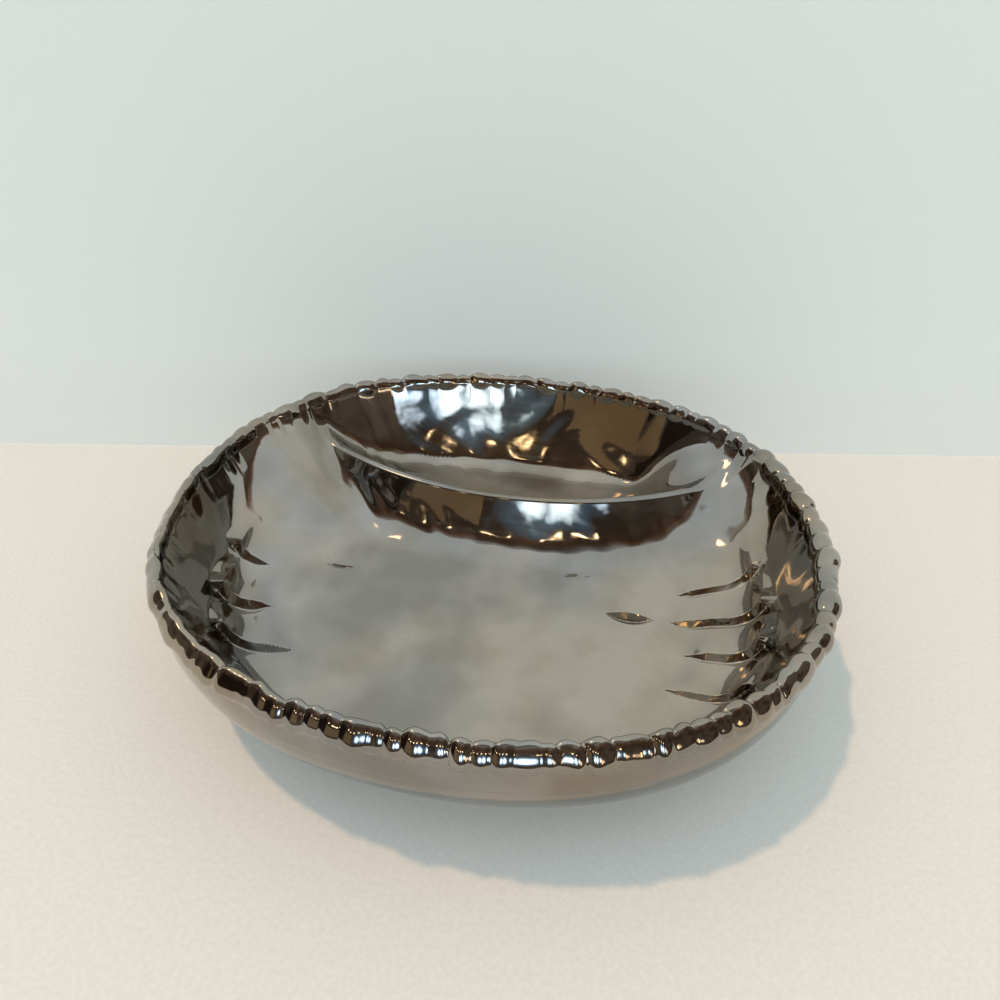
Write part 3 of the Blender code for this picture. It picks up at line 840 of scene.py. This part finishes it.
def hang_cards():
    """The dim end of the studio behind the eye, with its windows and warm lamps, for the glaze to mirror."""
    card("ceiling", (0, 360), (44, 89.5), glow("ceiling_white", "#E2EAEA", 1.2), 2.7)
    card("dim_end", (78, 284), (-16, 44), dim_cloth(), DIM_DISTANCE)
    card("dark_gap", (234, 252), (-2, 26), glow("dark_cloth", "#2E2620", 1.0), 2.55)
    card("lit_screen", (205, 232), (-2, 19), glow("tan_cloth", "#9C8566", 1.0), 2.5)
    flat_sheet("dark_hanging", EYE - SIGHT * 0.04 + UPWARD * 0.07, SIDEWAYS * 0.28, UPWARD * 0.17,
               soft_glow("brown_cloth", "#54402F", 1.0, 0.5), seen=False)
    card("window_haze", (160, 202), (-3, 27), soft_glow("blue_haze", "#6A97B6", 1.35, 0.7), 2.48)
    daylight = soft_glow("daylight", "#CBE6FF", 9.5, 0.7)
    card("window_left", (170, 183), (3, 21), daylight, 2.45)
    card("window_middle", (182, 194), (3, 20), daylight, 2.45)
    card("window_right", (158, 166), (5, 18), daylight, 2.45)
    lamp = soft_glow("frosted_bulb", "#FFE0B0", 30.0, 2.4)
    half_wide, half_tall = BULB_HALF
    for count, (bearing, climb) in enumerate(BULBS):
        card(f"bulb_{count}", (bearing - half_wide, bearing + half_wide),
             (climb - half_tall, climb + half_tall), lamp, 2.35)
    card("ceiling_glow", (262, 308), (49, 64), soft_glow("warm_ceiling", "#FFD7A2", 17.0, 0.8), 2.4)
    card("side_lamp", (147, 153), (3, 9), glow("lamp_shade", "#FFE9CF", 3.0), 2.4)
    card("strip_lamp", (154.3, 156), (0, 13), glow("warm_bulb", "#FFD9A0", 10.0), 2.4)


def lustre():
    """Platinum lustre, brushed on over glazed porcelain and fired: a warm grey mirror, cloudy where it went
    on thin, with the pull of the brush in it and a milky film of wear on what lies level, so the eye reads
    hand-made, metal-bright china and not steel."""
    material, tree = new_material("platinum_lustre_brushed_on_porcelain")
    place = add(tree, "TexCoord").outputs["Object"]
    clouds = add(tree, "TexNoise", {"Vector": place, "Scale": 1 / CLOUD_SIZE, "Detail": 3.0,
                                    "Roughness": 0.5})
    tint = add(tree, "TexNoise", {"Vector": place, "Scale": 1 / TINT_SIZE, "Detail": 2.0})
    pulled = add(tree, "Mapping", {"Vector": place, "Rotation": (0.0, 0.0, BRUSH_TURN),
                                   "Scale": (1 / BRUSH_LENGTH, 1 / BRUSH_WIDTH, 1 / BRUSH_LENGTH)})
    brush = add(tree, "TexNoise", {"Vector": pulled.outputs[0], "Scale": 1.0, "Detail": 3.0,
                                   "Distortion": 0.6})
    thin = add(tree, "ValToRGB", {0: clouds.outputs[0]}, ((0.34, "#8E8A83"), (0.68, "#A3A09B")))
    warm = add(tree, "ValToRGB", {0: tint.outputs[0]}, ((0.36, "#F6F8FF"), (0.66, "#FFF4E6")))
    coat = add(tree, "MixRGB", {"Fac": 1.0, "Color1": thin.outputs[0], "Color2": warm.outputs[0]},
               blend_type="MULTIPLY")
    rough = add(tree, "MapRange", {"Value": brush.outputs[0], "From Min": 0.3, "From Max": 0.75,
                                   "To Min": 0.035, "To Max": 0.12})
    hammer = add(tree, "TexNoise", {"Vector": place, "Scale": 1 / HAMMER_SIZE, "Detail": 1.0})
    skin = add(tree, "Bump", {"Height": hammer.outputs[0], "Strength": 0.10, "Distance": HAMMER_DEPTH})
    metal = add(tree, "BsdfPrincipled", {"Base Color": coat.outputs[0], "Roughness": rough.outputs[0],
                                         "Metallic": 1.0, "Normal": skin.outputs[0]})
    film = add(tree, "BsdfPrincipled", {"Base Color": linear("#DAD8D3"), "Roughness": 0.55})
    spot = add(tree, "SeparateXYZ", {0: place})
    rubbed = add(tree, "MapRange", {"Value": spot.outputs["Z"], "From Min": FLOOR_HEIGHT,
                                    "From Max": FLOOR_HEIGHT + WEAR_HEIGHT, "To Min": 1.0, "To Max": 0.25})
    patch = add(tree, "MapRange", {"Value": clouds.outputs[0], "From Min": 0.35, "From Max": 0.70,
                                   "To Min": 0.03, "To Max": 0.16}, interpolation_type="SMOOTHSTEP")
    tilt = add(tree, "SeparateXYZ", {0: add(tree, "NewGeometry").outputs["Normal"]})
    level = add(tree, "MapRange", {"Value": tilt.outputs["Z"], "From Min": 0.70, "From Max": 0.94})
    reached = add(tree, "Math", {0: rubbed.outputs[0], 1: level.outputs[0]}, operation="MULTIPLY")
    worn = add(tree, "Math", {0: reached.outputs[0], 1: patch.outputs[0]}, operation="MULTIPLY")
    whole = add(tree, "MixShader", {0: worn.outputs[0], 1: metal.outputs[0], 2: film.outputs[0]})
    add(tree, "OutputMaterial", {"Surface": whole.outputs[0]})
    return material


def biscuit():
    """Unglazed porcelain, wiped bare before firing: chalky off-white, dead matt, with fine iron specks and a
    grain that shows the clay under the bright coat."""
    material, tree = new_material("unglazed_porcelain_biscuit")
    place = add(tree, "TexCoord").outputs["Object"]
    grain = add(tree, "TexNoise", {"Vector": place, "Scale": 1 / CLAY_GRAIN, "Detail": 4.0})
    specks = add(tree, "TexVoronoi", {"Vector": place, "Scale": 1 / SPECK_APART})
    clay = add(tree, "ValToRGB", {0: grain.outputs[0]}, ((0.0, "#CDC3B2"), (1.0, "#EAE4D8")))
    iron = add(tree, "ValToRGB", {0: specks.outputs["Distance"]}, ((0.07, "#9A826A"), (0.12, "#FFFFFF")))
    tone = add(tree, "MixRGB", {"Fac": 1.0, "Color1": clay.outputs[0], "Color2": iron.outputs[0]},
               blend_type="MULTIPLY")
    rough = add(tree, "MapRange", {"Value": grain.outputs[0], "To Min": 0.78, "To Max": 0.95})
    skin = add(tree, "Bump", {"Height": grain.outputs[0], "Strength": 0.25, "Distance": 0.2 * MM})
    shade = add(tree, "BsdfPrincipled", {"Base Color": tone.outputs[0], "Roughness": rough.outputs[0],
                                         "Normal": skin.outputs[0]})
    add(tree, "OutputMaterial", {"Surface": shade.outputs[0]})
    return material


def light_up():
    """A pale studio all round, and one soft warm key from the upper left that gives the shadow."""
    scene = bpy.context.scene
    world = bpy.data.worlds.new("studio")
    scene.world = world
    world.use_nodes = True
    tree = world.node_tree
    tree.nodes.clear()
    sky = add(tree, "Background", {"Color": linear("#E0ECEE"), "Strength": 1.12})
    add(tree, "OutputWorld", {"Surface": sky.outputs[0]})
    sun = bpy.data.lights.new("key", "SUN")
    sun.energy = 0.97
    sun.color = linear("#FFD09D")[:3]
    sun.angle = math.radians(2.6)
    lamp = bpy.data.objects.new("key", sun)
    toward = SIDEWAYS * 0.34 - SIGHT * 0.06 - UPWARD
    lamp.rotation_mode = "QUATERNION"
    lamp.rotation_quaternion = toward.to_track_quat("-Z", "Y")
    lamp.visible_glossy = False
    scene.collection.objects.link(lamp)


set_camera()
bpy.context.scene.view_settings.view_transform = "Standard"
light_up()
wall_foot = EYE + SIGHT * BACKDROP_AHEAD
wall_foot.z = 0.0
board = painted_board("table_board", "#E7E5E1", "#E1DFDB")
table_low = Vector((0, 0, -0.2 * MM))
ahead_half, behind_half = (TABLE_HALF + TABLE_NEAR) / 2, (TABLE_HALF - TABLE_NEAR) / 2
flat_sheet("table", table_low + SIGHT * (TABLE_HALF - ahead_half), SIDEWAYS * TABLE_HALF,
           SIGHT * ahead_half, board)
table_behind = flat_sheet("table_behind", table_low - SIGHT * (TABLE_HALF - behind_half),
                          SIDEWAYS * TABLE_HALF, SIGHT * behind_half, board)
table_behind.visible_glossy = False
backdrop = flat_sheet("backdrop", wall_foot + UPWARD * BACKDROP_TALL, SIDEWAYS * BACKDROP_HALF_WIDTH,
                      UPWARD * BACKDROP_TALL, backdrop_paint())
backdrop.visible_shadow = False
hang_cards()
glaze = lustre()
make_dish(glaze)
make_bead_rim(glaze)
make_divider(glaze)
make_foot_ring(biscuit())
